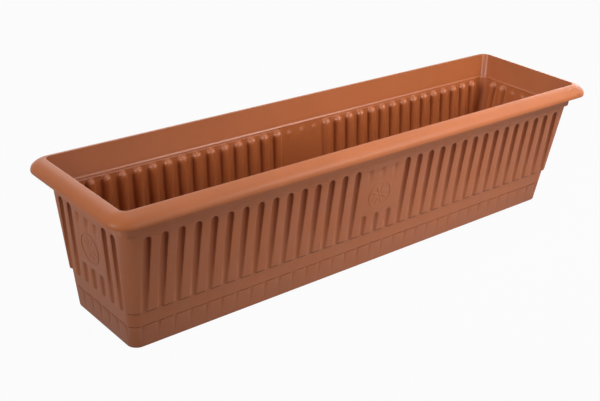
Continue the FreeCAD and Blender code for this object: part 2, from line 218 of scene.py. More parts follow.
def srgb(red, green, blue):
    """A screen colour from 0 to 255 as the linear numbers that a shader takes."""
    def channel(value):
        share = value / 255
        return share / 12.92 if share <= 0.04045 else ((share + 0.055) / 1.055) ** 2.4
    return (channel(red), channel(green), channel(blue), 1.0)


def noise(net, where, scale, detail=2.0, rough=0.5, stretch=None):
    """Noise from -1 to 1 on a place, stretched on request."""
    if stretch:
        where = net.out("ShaderNodeMapping", _0=where, Scale=stretch)
    value = net.out("ShaderNodeTexNoise", {"noise_dimensions": "3D"}, Vector=where, Scale=scale,
                    Detail=detail, Roughness=rough)
    return (value - 0.5) * 2.0


def mix_colour(net, share, first, second):
    """Two colours, with a share of the second."""
    made = net.node("ShaderNodeMix", {"data_type": "RGBA"})
    net.feed(made.inputs[0], share)
    net.feed(made.inputs[6], first)
    net.feed(made.inputs[7], second)
    return Sock(net, made.outputs[2])


# pale dust on the matte outside, which also stands in for painted sheen
DUST_AND_SHEEN = srgb(160, 105, 84)
# darker, richer tone mixed into the polished inside
DEEP = srgb(142, 76, 38)
# painted shadow under the ledge: its colour, its share, how far down it reaches and how fast it fades in
LEDGE_SHADOW = srgb(74, 40, 30)
DUST_AND_SHEEN_SHARE, DEEP_SHARE, LEDGE_SHADOW_SHARE = 0.36, 0.8, 0.66
LEDGE_SHADOW_BAND, LEDGE_SHADOW_FADE = 2.5, 1.6          # millimetres under the ledge, and how fast it fades in
COAT_SHARE, COAT_ROUGHNESS = 0.6, 0.28
GRAIN, SPECULAR, PLASTIC_IOR = 0.09, 0.26, 1.49


def moulded_plastic(name, light, dark, roughness):
    """Moulded plastic: clouds, flow marks and a fine grain, with a polish where it is stored."""
    material = bpy.data.materials.new(name)
    material.use_nodes = True
    net = Net(material.node_tree)
    net.tree.nodes.clear()
    where = net.out("ShaderNodeTexCoord", output="Object")
    clouds = noise(net, where, 14.0, 3.0, 0.55)
    flow = noise(net, where, 60.0, 2.0, 0.6, stretch=(1.0, 1.0, 0.12))
    speck = noise(net, where, 900.0, 1.0, 0.5)
    share = (clouds * 0.55 + flow * 0.3 + speck * 0.12 + 0.5).most(0.0).least(1.0)
    polish = net.out("ShaderNodeAttribute", {"attribute_name": "polish"}, output="Fac")
    matte = (1.0 - polish * 2.0).most(0.0)
    deepened = (polish - 0.5).most(0.0) * DEEP_SHARE
    pigment = mix_colour(net, deepened, mix_colour(net, share, dark, light), DEEP)
    patches = noise(net, where, 38.0, 3.0, 0.6)
    # pale dust and painted sheen on the matte outside
    dust_and_sheen = (DUST_AND_SHEEN_SHARE + patches * 0.3 + flow * 0.12).most(0.0) * matte
    height = where.part(2) / MM
    on_land = net.out("ShaderNodeAttribute", {"attribute_name": "land"}, output="Fac")
    # painted shadow that each land casts on the band under the ledge
    ledge_shadow_mask = ((height - (LEDGE - LEDGE_SHADOW_BAND)) * LEDGE_SHADOW_FADE).most(0.0).least(1.0) * (height < LEDGE - 0.01)
    painted_ledge_shadow = ledge_shadow_mask * on_land * matte * LEDGE_SHADOW_SHARE
    colour = mix_colour(net, painted_ledge_shadow, mix_colour(net, dust_and_sheen, pigment, DUST_AND_SHEEN), LEDGE_SHADOW)
    fine = noise(net, where, 1500.0, 2.0, 0.6)
    peel = noise(net, where, 340.0, 2.0, 0.5)
    bump = net.out("ShaderNodeBump", Strength=0.5, Distance=GRAIN * MM, Height=fine * 0.35 + peel * 0.65)
    shader = net.node("ShaderNodeBsdfPrincipled", IOR=PLASTIC_IOR)
    net.feed(shader.inputs["Base Color"], colour)
    net.feed(shader.inputs["Roughness"], roughness + clouds * 0.05 + flow * 0.03 - polish * 0.14)
    net.feed(shader.inputs["Normal"], bump)
    net.feed(shader.inputs["Coat Weight"], (polish - 0.4).most(0.0) * COAT_SHARE)
    net.feed(shader.inputs["Coat Roughness"], COAT_ROUGHNESS)
    net.feed(shader.inputs["Specular IOR Level"], SPECULAR)
    net.node("ShaderNodeOutputMaterial", Surface=shader.outputs[0])
    return material


TERRACOTTA = moulded_plastic("terracotta_plastic", srgb(176, 100, 57), srgb(158, 87, 47), 0.54)
TRAY_CLAY = moulded_plastic("tray_plastic", srgb(168, 97, 58), srgb(152, 85, 49), 0.56)
print("materials", TERRACOTTA.name, TRAY_CLAY.name)

# %% [markdown]
# The walls are one skin, woven from rings and columns like cloth on a loom. A ring runs round
# the box at one height and inset, and the list of rings goes up the outside, over the rim and
# down the inside. Rings lie close together where the surface turns, and far apart on flats.

# %% Rings and the heights they need
DOME_ANGLES = (0, 26, 48, 66, 80)


class Ring:
    """One ring: inset, height, corner radius, the skins it lies behind a flute, if any, and polish."""

    def __init__(self, inset, z, radius, skin=None, polish=0.0):
        self.inset, self.z, self.radius, self.skin, self.polish = inset, z, radius, skin, polish


def arc(centre, radius, start, end, steps):
    """Pairs of inset and height on an arc. Angles are in degrees, 0 inwards and 90 up."""
    pairs = []
    for step in range(steps + 1):
        angle = math.radians(start + (end - start) * step / steps)
        pairs.append((centre[0] + radius * math.cos(angle), centre[1] + radius * math.sin(angle)))
    return pairs


def dome_levels(crown, skin):
    """Heights that follow a dome up to its crown. The back of a flute has a dome one skin larger."""
    base, radius = crown - FLUTE_R, FLUTE_R + SKIN * skin
    levels = [base + radius * math.sin(math.radians(angle)) for angle in DOME_ANGLES]
    return levels + [base + radius, base + radius + 0.3]


def wall_levels(low, high, skin):
    """Heights of the rings of a fluted wall, close together only where a dome turns."""
    levels = [low + 1.0, LOW_TOP + FLUTE_R, HIGH_FOOT, HIGH_FOOT + 4.0, DOME - 1.6]
    levels += dome_levels(LOW_TOP, skin) + dome_levels(FLUTE_TOP, skin)
    return sorted(z for z in levels if low < z < high)


print("heights in a dome", [round(z, 1) for z in dome_levels(FLUTE_TOP, 0.0)])

# %% [markdown]
# The rolled rim curls outwards and down to a lip, by which the box is lifted. A curve could
# be drawn by hand for it, but two arcs that meet smoothly are enough: a wide one for the top
# and a tight one for the outer edge. The channel under it follows both, one wall further in.

# %% Section of the rolled rim
CHANNEL_STEPS, RIM_STEPS = 3, 6


def rim_geometry():
    """Centres of the rim's two arcs and the angle where they meet."""
    wide = (RIM_WIDTH + RIM_REACH, HEIGHT - math.sqrt(RIM_WIDE ** 2 - RIM_REACH ** 2))
    run = wide[0] - RIM_TIGHT
    rise = math.sqrt((RIM_WIDE - RIM_TIGHT) ** 2 - run ** 2)
    tight = (RIM_TIGHT, wide[1] + rise)
    return wide, tight, math.degrees(math.atan2(rise, -run))


def rim_rings():
    """Underside channel, lip and top of the rolled rim, outside first."""
    wide, tight, meet = rim_geometry()
    inner_wide, inner_tight = RIM_WIDE - RIM_WALL, RIM_TIGHT - RIM_WALL
    first = math.degrees(math.acos((COLLAR_TOP_INSET + 0.2 - wide[0]) / inner_wide))
    crown = math.degrees(math.acos(-RIM_REACH / RIM_WIDE))
    pairs = arc(wide, inner_wide, first, meet, CHANNEL_STEPS)
    pairs += arc(tight, inner_tight, meet, 180, CHANNEL_STEPS)[1:]
    lip = HEIGHT - RIM_DEPTH
    pairs += [(RIM_WALL, lip + SOFT), (RIM_WALL - SOFT, lip), (SOFT, lip),
              (SOFT * 0.25, lip + SOFT * 0.3), (0.0, lip + SOFT)]
    pairs += arc(tight, RIM_TIGHT, 180, meet, RIM_STEPS)
    pairs += arc(wide, RIM_WIDE, meet, crown + 2.0, RIM_STEPS)[1:]
    return pairs


print("points in the rim's section", len(rim_rings()))

# %% [markdown]
# Now both sections can be listed, ring by ring, from the foot up the outside and down the
# inside. Two rings a few tenths of a millimetre apart round an edge off, as a mould leaves
# it. The rim and the inside shine more than the outside, so their rings carry a polish.

# %% Lists of rings
RIM_POLISH, INSIDE_POLISH = 0.5, 1.0
LEAST_CORNER, COLLAR_DROP = 4.0, 3.4


def inside_corner(inset):
    """Corner radius of a ring that keeps the rim's corner centre."""
    return max(RIM_CORNER - inset, LEAST_CORNER)


def trough_rings():
    """Rings of the trough: foot, plain band, fluted wall, collar, rim, and down the inside."""
    rings = [Ring(plug(FLOOR_LOW), FLOOR_LOW, PLUG_CORNER), Ring(plug(PLUG_HIGH), PLUG_HIGH, PLUG_CORNER)]
    foot = TRAY_TOP + SEAM
    rings += [Ring(band(foot) + SOFT, foot, FOOT_CORNER),
              Ring(band(foot + SOFT), foot + SOFT, FOOT_CORNER),
              Ring(band(LEDGE - 0.3), LEDGE - 0.3, FOOT_CORNER),
              Ring(band(LEDGE) - 0.3, LEDGE, FOOT_CORNER),
              Ring(land(LEDGE) + SOFT, LEDGE, CORNER, 0.0),
              Ring(land(LEDGE) + 0.1, LEDGE + 0.15, CORNER, 0.0)]
    low, high = LEDGE + SOFT, SHOULDER - 0.3
    rings += [Ring(land(z), z, CORNER, 0.0) for z in [low, *wall_levels(low, high, 0.0), high]]
    collar_foot = COLLAR_TOP_INSET + COLLAR_FALL
    rings += [Ring(land(SHOULDER) - 0.3, SHOULDER, CORNER),
              Ring(collar_foot + SOFT, SHOULDER, inside_corner(collar_foot)),
              Ring(collar_foot - 0.02, SHOULDER + SOFT, inside_corner(collar_foot)),
              Ring(COLLAR_TOP_INSET + 0.35, HEIGHT - COLLAR_DROP, inside_corner(COLLAR_TOP_INSET))]
    rings += [Ring(inset, z, inside_corner(inset), polish=RIM_POLISH) for inset, z in rim_rings()]
    inside = len(rings)
    top_foot = RIM_WIDTH + TOP_FALL
    corner = inside_corner(RIM_WIDTH)
    top = INNER_SHOULDER + BEVEL
    rings += [Ring(RIM_WIDTH + 0.02, HEIGHT - 0.1, corner),
              Ring(RIM_WIDTH + 0.12, HEIGHT - 0.55, corner),
              Ring(top_foot - 0.1, top + 1.0, corner),
              Ring(top_foot + 0.25, top, corner),
              Ring(top_foot + BEVEL + 0.15, INNER_SHOULDER + 0.2, corner),
              Ring(land(INNER_SHOULDER) + WALL + 0.05, INNER_SHOULDER - 0.4, CORNER - WALL)]
    low, high = LEDGE + WALL + 0.4, INNER_SHOULDER - 1.0
    levels = reversed([low, *wall_levels(low, high, 1.0)])
    rings += [Ring(land(z) + WALL, z, CORNER - WALL, 1.0) for z in levels]
    shelf = LEDGE + WALL
    rings += [Ring(land(shelf) + WALL + 0.4, shelf, CORNER - WALL, 1.0),
              Ring(band(shelf) + WALL, shelf - 0.4, FOOT_CORNER - WALL)]
    step = foot + WALL
    rings += [Ring(band(step) + WALL, step + 0.4, FOOT_CORNER - WALL),
              Ring(plug(step) + WALL, step - 0.4, PLUG_CORNER - WALL),
              Ring(plug(FLOOR_HIGH) + WALL, FLOOR_HIGH + 0.6, PLUG_CORNER - WALL),
              Ring(plug(FLOOR_HIGH) + WALL + 0.7, FLOOR_HIGH, PLUG_CORNER - WALL)]
    for ring in rings[inside:]:
        ring.polish = INSIDE_POLISH
    return rings


def tray_rings():
    """Rings of the tray: its fluted wall, the top edge, and down the inside."""
    top = TRAY_TOP
    levels = [TRAY_FLUTE_FOOT, 8.0, 12.0, 17.0, top - SOFT]
    inner = FOOT_CORNER - TRAY_WALL
    rings = [Ring(band(0) + 0.8, 0.0, FOOT_CORNER - 0.6),
             Ring(band(0) + 0.15, 0.25, FOOT_CORNER),
             Ring(band(0.8), 0.8, FOOT_CORNER, 0.0)]
    rings += [Ring(band(z), z, FOOT_CORNER, 0.0) for z in levels]
    rings += [Ring(band(top) + 0.12, top - 0.12, FOOT_CORNER, 0.0),
              Ring(band(top) + SOFT, top, FOOT_CORNER, 0.0),
              Ring(band(top) + TRAY_WALL - SOFT, top, inner),
              Ring(band(top) + TRAY_WALL, top - SOFT, inner),
              Ring(band(TRAY_FLOOR) + TRAY_WALL, TRAY_FLOOR + 0.8, inner),
              Ring(band(TRAY_FLOOR) + TRAY_WALL + 0.8, TRAY_FLOOR, inner - 0.6)]
    return rings


TROUGH_RINGS, TRAY_RINGS = trough_rings(), tray_rings()
print("rings", len(TROUGH_RINGS), len(TRAY_RINGS))

# %% [markdown]
# Columns cross the rings. Thirteen of them belong to every flute, and at each height they
# spread over the width that the flute has there, so that its edge is always a grid line.
# Between the last flute of one wall and the first of the next, columns fan round the corner.

# %% Places of the columns
ACROSS_FLUTE = (-1.38, -1.17, -1.0, -0.9, -0.68, -0.36, 0.0, 0.36, 0.68, 0.9, 1.0, 1.17, 1.38)
CORNER_COLUMNS, CORNER_GAP = 11, 0.03          # the gap is an angle in radians
CORNER_USE = (0.55, 0.66)                      # shares of the corner that long and end walls may use
PLAIN_SHARE, LEAST_SHARE, DOME_CLEAR = 0.8, 0.22, 3.0


class Flutes:
    """Flutes of a piece: foot and head of their nose line, each as height and inset, and crown.

    Broken flutes are those with a medallion in the middle of the wall.
    """

    def __init__(self, foot, head, crown, broken):
        self.foot, self.head, self.crown, self.broken = foot, head, crown, broken

    def nose(self, z):
        """Inset of the nose line at a height."""
        share = (min(z, self.head[0]) - self.foot[0]) / (self.head[0] - self.foot[0])
        return self.foot[1] + (self.head[1] - self.foot[1]) * share

    def half_width(self, ring, number):
        """Half the width of flute number at a ring."""
        if ring.skin is None:
            return FLUTE_R * PLAIN_SHARE
        radius = FLUTE_R + SKIN * ring.skin
        crown = LOW_TOP if self.broken and abs(number) < FIRST_FULL else self.crown
        out = self.nose(ring.z) - ring.inset
        if out > 0:
            mouth = radius + FLARE * out
        else:
            mouth = math.sqrt(max(radius ** 2 - out ** 2, (radius / 2) ** 2))
        rise = max(ring.z - (crown - FLUTE_R), 0.0)
        if rise > radius + DOME_CLEAR:
            return mouth
        return max(math.sqrt(max(mouth ** 2 - rise ** 2, 0.0)), LEAST_SHARE * radius)


def wall_places(ring, flutes, pitch, last):
    """Distances of the columns from the middle of a wall."""
    places = []
    for number in range(-last, last + 1):
        half = flutes.half_width(ring, number)
        places += [number * pitch + share * half for share in ACROSS_FLUTE]
    return places


def ring_points(ring, flutes):
    """Points round one ring, each with the number of its wall, counter-clockwise from the front."""
    reach = (LENGTH / 2 - ring.inset, WIDTH / 2 - ring.inset)
    straight = [side - ring.radius for side in reach]
    walls = []
    for axis, (pitch, last) in enumerate(((PITCH, LAST), (END_PITCH, END_LAST))):
        places = wall_places(ring, flutes, pitch, last)
        limit = straight[axis] + CORNER_USE[axis] * ring.radius
        if ring.skin is None:
            squeeze = min(1.0, limit / places[-1])
            walls.append([place * squeeze for place in places])
        else:
            walls.append([max(-limit, min(limit, place)) for place in places])

    def lean(axis, place):
        """Angle on the corner at which a wall's column stands."""
        over = max(abs(place) - straight[axis], 0.0) / ring.radius
        return math.asin(min(over, 1.0))

    def away(axis, place):
        """How far out from the middle of the box a wall's column stands."""
        return reach[1 - axis] - ring.radius * (1 - math.cos(lean(axis, place)))

    front = [(place, -away(0, place), 0) for place in walls[0]]
    right = [(away(1, place), place, 1) for place in walls[1]]
    first, second = (lean(axis, walls[axis][-1]) + CORNER_GAP for axis in (0, 1))
    fan = []
    for index in range(CORNER_COLUMNS):
        angle = first + (math.pi / 2 - first - second) * index / (CORNER_COLUMNS - 1)
        fan.append((straight[0] + ring.radius * math.sin(angle), straight[1] + ring.radius * math.cos(angle)))
    front_corner = [(x, -y, -1) for x, y in fan]
    back_corner = [(x, y, -1) for x, y in reversed(fan)]
    half = front + front_corner + right + back_corner
    return half + [(-x, -y, wall) for x, y, wall in half]


def column_lands():
    """For each column round a ring, 1 on a land or a corner and 0 in a flute."""
    def wall(last):
        return [float(abs(share) > 1.1) for _ in range(-last, last + 1) for share in ACROSS_FLUTE]

    corner = [1.0] * CORNER_COLUMNS
    return 2 * (wall(LAST) + corner + wall(END_LAST) + corner)


print("columns round a ring", len(column_lands()))

# %% [markdown]
# Where a ring and a column cross stands a point, and four points that are neighbours make a
# quad. The last ring joins the first, so the skin is closed. Each point also stores what the
# node tree and the plastic need to know: its wall, how many skins it lies behind a flute, its
# polish, and whether it stands on a land.

# %% Weave rings and columns into a skin


def add_object(name, data):
    """Object in the scene that holds a mesh, a lamp or a camera."""
    made = bpy.data.objects.new(name, data)
    bpy.context.scene.collection.objects.link(made)
    return made


def mesh_object(name, vertices, faces):
    """Object with a new mesh."""
    mesh = bpy.data.meshes.new(name)
    mesh.from_pydata(vertices, [], faces)
    return add_object(name, mesh)


def weave(name, rings, flutes):
    """Closed tube of quads through the rings, with four numbers stored on its points."""
    rows = [ring_points(ring, flutes) for ring in rings]
    around = len(rows[0])
    vertices = [(x * MM, y * MM, ring.z * MM) for ring, row in zip(rings, rows) for x, y, _ in row]
    faces = []
    for row in range(len(rows)):
        above = (row + 1) % len(rows)
        for column in range(around):
            beside = (column + 1) % around
            faces.append((row * around + column, row * around + beside,
                          above * around + beside, above * around + column))
    made = mesh_object(name, vertices, faces)
    stored = {
        "wall": [float(wall) if ring.skin is not None else -1.0
                 for ring, row in zip(rings, rows) for _, _, wall in row],
        "skin": [ring.skin or 0.0 for ring in rings for _ in range(around)],
        "polish": [ring.polish for ring in rings for _ in range(around)],
        "land": column_lands() * len(rings),
    }
    for label, numbers in stored.items():
        attribute = made.data.attributes.new(label, "FLOAT", "POINT")
        attribute.data.foreach_set("value", numbers)
    made.data.validate()
    return made


TROUGH_FLUTES = Flutes((LEDGE, NOSE_FOOT), (DOME, NOSE_HEAD), FLUTE_TOP, True)
TRAY_FLUTES = Flutes((TRAY_FLUTE_FOOT, TRAY_NOSE_FOOT), (TRAY_DOME, TRAY_NOSE_HEAD), TRAY_FLUTE_TOP, False)
trough = weave("trough_walls", TROUGH_RINGS, TROUGH_FLUTES)
tray = weave("tray_walls", TRAY_RINGS, TRAY_FLUTES)
print("quads", len(trough.data.polygons), len(tray.data.polygons))

# %% [markdown]
# The flutes follow a rule, so a node tree presses them in. Every tree here starts with named
# inputs, so that its sizes can be changed on the modifier, and ends by realizing its copies
# and setting the material.

# %% Start and end of a geometry tree
FLUTE_INPUTS = (
    ("Length", LENGTH), ("Width", WIDTH), ("Pitch", PITCH), ("End Pitch", END_PITCH),
    ("Last", LAST), ("End Last", END_LAST), ("First Full", FIRST_FULL),
    ("Radius", FLUTE_R), ("Skin", SKIN), ("Flare", FLARE), ("Softness", 0.35),
    ("Easing", 0.45), ("Easing Width", 1.4),
    ("Foot Height", LEDGE), ("Foot Inset", NOSE_FOOT), ("Head Height", DOME), ("Head Inset", NOSE_HEAD),
    ("Low Crown", LOW_TOP), ("High Foot Height", HIGH_FOOT), ("High Foot Inset", HIGH_NOSE_FOOT),
    ("High Head Height", HIGH_DOME), ("High Head Inset", HIGH_NOSE_HEAD),
)


def new_tree(name, numbers):
    """Geometry tree with a geometry input, named numbers and a material input."""
    tree = bpy.data.node_groups.new(name, "GeometryNodeTree")
    tree.interface.new_socket("Geometry", in_out="INPUT", socket_type="NodeSocketGeometry")
    for label, value in numbers:
        socket = tree.interface.new_socket(label, in_out="INPUT", socket_type="NodeSocketFloat")
        socket.default_value = value
    tree.interface.new_socket("Material", in_out="INPUT", socket_type="NodeSocketMaterial")
    tree.interface.new_socket("Geometry", in_out="OUTPUT", socket_type="NodeSocketGeometry")
    net = Net(tree)
    source = net.node("NodeGroupInput")
    return net, {socket.name: Sock(net, socket) for socket in source.outputs if socket.name}


def finish_tree(net, geometry, material):
    """Realize Instances and Set Material close every tree."""
    plain = net.out("GeometryNodeRealizeInstances", _0=geometry)
    dressed = net.node("GeometryNodeSetMaterial")
    net.feed(dressed.inputs["Geometry"], plain)
    net.feed(dressed.inputs["Material"], material)
    net.node("NodeGroupOutput", _0=dressed.outputs[0])


print("inputs of the flute tree", len(FLUTE_INPUTS))

# %% [markdown]
# For each point the tree finds the nearest flute by rounding, works out how deep a
# round-nosed slot would lie there, and moves the point to whichever is further in, the wall
# or the slot, with a small rounding between. The same tree raises the ribs inside, because
# there the slot is one skin larger.

# %% The tree that presses flutes


def slot_inset(net, given, z, side, foot, head, crown_base):
    """Inset of a round-nosed slot at a height and at a distance from its middle line.

    Around its mouth the wall dips a little towards it, which rounds the edge.
    """
    share = (z.least(head[0]) - foot[0]) / (head[0] - foot[0])
    nose = foot[1] + (head[1] - foot[1]) * share
    rise = (z - crown_base).most(0.0)
    away = (side * side + rise * rise).root()
    radius = given["Radius"] + given["skin"] * given["Skin"]
    nose_round = (radius * radius - away * away).root()
    slot = nose + nose_round - (away - radius).most(0.0) / given["Flare"]
    out = nose - given["inset"]
    below = out.least(0.0)
    mouth = (radius * radius - below * below).root() + out.most(0.0) * given["Flare"]
    near = (1.0 - (away - mouth).most(0.0) / given["Easing Width"]).most(0.0)
    depth = ((out + radius) * 0.5).most(0.0).least(1.0)
    eased = given["inset"] + given["Easing"] * depth * near * near
    return slot.most(eased)


def build_flute_tree():
    """Tree that presses the flutes into a woven wall."""
    net, given = new_tree("PressFlutes", FLUTE_INPUTS)
    place = net.out("GeometryNodeInputPosition")
    x, y, z = (place.part(index) * (1.0 / MM) for index in range(3))
    wall = net.out("GeometryNodeInputNamedAttribute", {"data_type": "FLOAT"}, Name="wall")
    given["skin"] = net.out("GeometryNodeInputNamedAttribute", {"data_type": "FLOAT"}, Name="skin")
    is_end = wall > 0.5
    is_wall = wall > -0.5

    def pick(for_long, for_end):
        return for_long + (for_end - for_long) * is_end

    along, across = pick(x, y).size(), pick(y, x)
    pitch = pick(given["Pitch"], given["End Pitch"])
    number = net.math("ROUND", along / pitch)
    side = along - number * pitch
    on_flute = (number < pick(given["Last"], given["End Last"]) + 0.5) * is_wall
    is_full = number > given["First Full"] - 0.5
    half = pick(given["Width"], given["Length"]) * 0.5
    inset = half - across.size()
    given["inset"] = inset
    foot = (given["Foot Height"], given["Foot Inset"])
    head = (given["Head Height"], given["Head Inset"])
    full = slot_inset(net, given, z, side, foot, head, head[0])
    low = slot_inset(net, given, z, side, foot, head, given["Low Crown"] - given["Radius"])
    high = slot_inset(net, given, z, side, (given["High Foot Height"], given["High Foot Inset"]),
                      (given["High Head Height"], given["High Head Inset"]), given["High Head Height"])
    broken = low.most(high)
    slot = broken + (full - broken) * is_full
    pressed = net.math("SMOOTH_MAX", inset, slot, given["Softness"])
    move = (pressed - inset) * on_flute * MM
    shift = move * net.math("SIGN", across) * -1.0
    offset = net.out("ShaderNodeCombineXYZ", X=shift * is_end, Y=shift * (1.0 - is_end))
    moved = net.out("GeometryNodeSetPosition", Geometry=given["Geometry"], Offset=offset)
    finish_tree(net, moved, given["Material"])
    return net.tree


FLUTE_TREE = build_flute_tree()
print("nodes that press flutes", len(FLUTE_TREE.nodes))

# %% [markdown]
# The tree now runs on both walls. The trough uses the sizes it was built with. The tray's
# flutes are shorter, shallower and unbroken, so its modifier gets numbers of its own. The
# result is kept as a plain mesh, because the closing steps want no live modifier.

# %% Press the flutes


def run_tree(made, tree, material, **numbers):
    """Run a tree on an object and keep the result as its plain mesh."""
    modifier = made.modifiers.new(tree.name, "NODES")
    modifier.node_group = tree
    keys = {item.name: item.identifier for item in tree.interface.items_tree if item.in_out == "INPUT"}
    modifier[keys["Material"]] = material
    for label, value in numbers.items():
        modifier[keys[label.replace("_", " ")]] = float(value)
    made.update_tag()
    bpy.context.view_layer.update()
    evaluated = made.evaluated_get(bpy.context.evaluated_depsgraph_get())
    mesh = bpy.data.meshes.new_from_object(evaluated)
    made.modifiers.remove(modifier)
    mesh.name = made.name
    made.data = mesh


run_tree(trough, FLUTE_TREE, TERRACOTTA)
run_tree(tray, FLUTE_TREE, TRAY_CLAY, First_Full=0, Foot_Height=TRAY_FLUTE_FOOT, Foot_Inset=TRAY_NOSE_FOOT,
         Head_Height=TRAY_DOME, Head_Inset=TRAY_NOSE_HEAD)
print("walls pressed", len(trough.data.polygons), "quads")

# %% [markdown]
# Both floors are flat plates let into the walls. The trough's has two rows of drain holes,
# and stands on round feet inside the tray. Holes and feet repeat, so a tree puts a cylinder
# on every point of a small grid: one set is cut out of the plate, the other added below it.

# %% Floors, drain holes and feet
DRAIN_R, DRAINS_ALONG, DRAIN_SPAN_X, DRAIN_SPAN_Y = 3.5, 7, 462.0, 24.0
FOOT_R, FEET_ALONG, FOOT_SPAN_X, FOOT_SPAN_Y = 7.0, 4, 462.0, 50.0
PEG_ROWS, PEG_SIDES, CORNER_STEPS = 2, 40, 8
CUT, FOOT_SINK = 1.0, 0.4          # a hole cuts past both faces, a foot reaches into the floor


def plate(name, inset, low, high, radius):
    """Flat rounded plate between two heights."""
    outline = []
    x, y = LENGTH / 2 - inset - radius, WIDTH / 2 - inset - radius
    for sx, sy, start in ((1, -1, -90), (1, 1, 0), (-1, 1, 90), (-1, -1, 180)):
        for step in range(CORNER_STEPS + 1):
            angle = math.radians(start + 90 * step / CORNER_STEPS)
            px, py = sx * x + radius * math.cos(angle), sy * y + radius * math.sin(angle)
            outline.append((px * MM, py * MM))
    count = len(outline)
    vertices = [(px, py, z * MM) for z in (low, high) for px, py in outline]
    faces = [tuple(reversed(range(count))), tuple(range(count, 2 * count))]
    faces += [(i, (i + 1) % count, count + (i + 1) % count, count + i) for i in range(count)]
    return mesh_object(name, vertices, faces)


def peg_grid(net, given, kind, along, top, depth):
    """Upright cylinders on two rows of points, so many along each row."""
    points = net.node("GeometryNodeMeshGrid")
    net.feed(points.inputs["Size X"], given[f"{kind} Span X"] * MM)
    net.feed(points.inputs["Size Y"], given[f"{kind} Span Y"] * MM)
    net.feed(points.inputs["Vertices X"], along)
    net.feed(points.inputs["Vertices Y"], PEG_ROWS)
    peg = net.node("GeometryNodeMeshCylinder", Vertices=PEG_SIDES)
    net.feed(peg.inputs["Radius"], given[f"{kind} Radius"] * MM)
    net.feed(peg.inputs["Depth"], depth * MM)
    lifted = net.out("GeometryNodeTransform", _0=points.outputs[0],
                     Translation=net.out("ShaderNodeCombineXYZ", Z=(top - depth * 0.5) * MM))
    return net.out("GeometryNodeInstanceOnPoints", Points=lifted, Instance=peg.outputs[0])


def build_floor_tree():
    """Tree that drains a floor plate and sets it on feet."""
    net, given = new_tree("DrainedFloor", (
        ("Drain Radius", DRAIN_R), ("Drain Span X", DRAIN_SPAN_X), ("Drain Span Y", DRAIN_SPAN_Y),
        ("Foot Radius", FOOT_R), ("Foot Span X", FOOT_SPAN_X), ("Foot Span Y", FOOT_SPAN_Y),
        ("Floor Low", FLOOR_LOW), ("Floor High", FLOOR_HIGH), ("Tray Floor", TRAY_FLOOR)))
    low, high = given["Floor Low"], given["Floor High"]
    holes = peg_grid(net, given, "Drain", DRAINS_ALONG, high + CUT, high - low + 2.0 * CUT)
    foot_top = low + FOOT_SINK
    feet = peg_grid(net, given, "Foot", FEET_ALONG, foot_top, foot_top - given["Tray Floor"])
    drained = net.node("GeometryNodeMeshBoolean", {"operation": "DIFFERENCE"})
    net.feed(drained.inputs["Mesh 1"], given["Geometry"])
    net.feed(drained.inputs["Mesh 2"], net.out("GeometryNodeRealizeInstances", _0=holes))
    join = net.node("GeometryNodeJoinGeometry")
    net.feed(join.inputs[0], drained.outputs[0])
    net.feed(join.inputs[0], feet)
    finish_tree(net, join.outputs[0], given["Material"])
    return net.tree


trough_floor = plate("trough_floor", plug(FLOOR_LOW) + 0.8, FLOOR_LOW, FLOOR_HIGH, 6.0)
run_tree(trough_floor, build_floor_tree(), TERRACOTTA)
tray_floor = plate("tray_floor", band(0) + 1.1, 0.0, TRAY_FLOOR, FOOT_CORNER - 1.0)
tray_floor.data.materials.append(TRAY_CLAY)
print("floor faces", len(trough_floor.data.polygons))

# %% [markdown]
# In the middle of each wall the mould carries a small flat relief. Here it is a plain
# rosette: a bead ring, eight petals and a button, hardly thicker than a coin. A tree lays
# the petals out on a circle and sets the whole on each of the four walls.

# %% Medallions
MEDALLION_Z, RING_R, BEAD = 79.0, 14.0, 0.4
PETAL_REACH, PETAL_LONG, PETAL_WIDE, RELIEF, BUTTON = 6.8, 4.3, 1.7, 0.4, 1.7
PETALS, RING_SIDES, BEAD_SIDES = 8, 96, 12


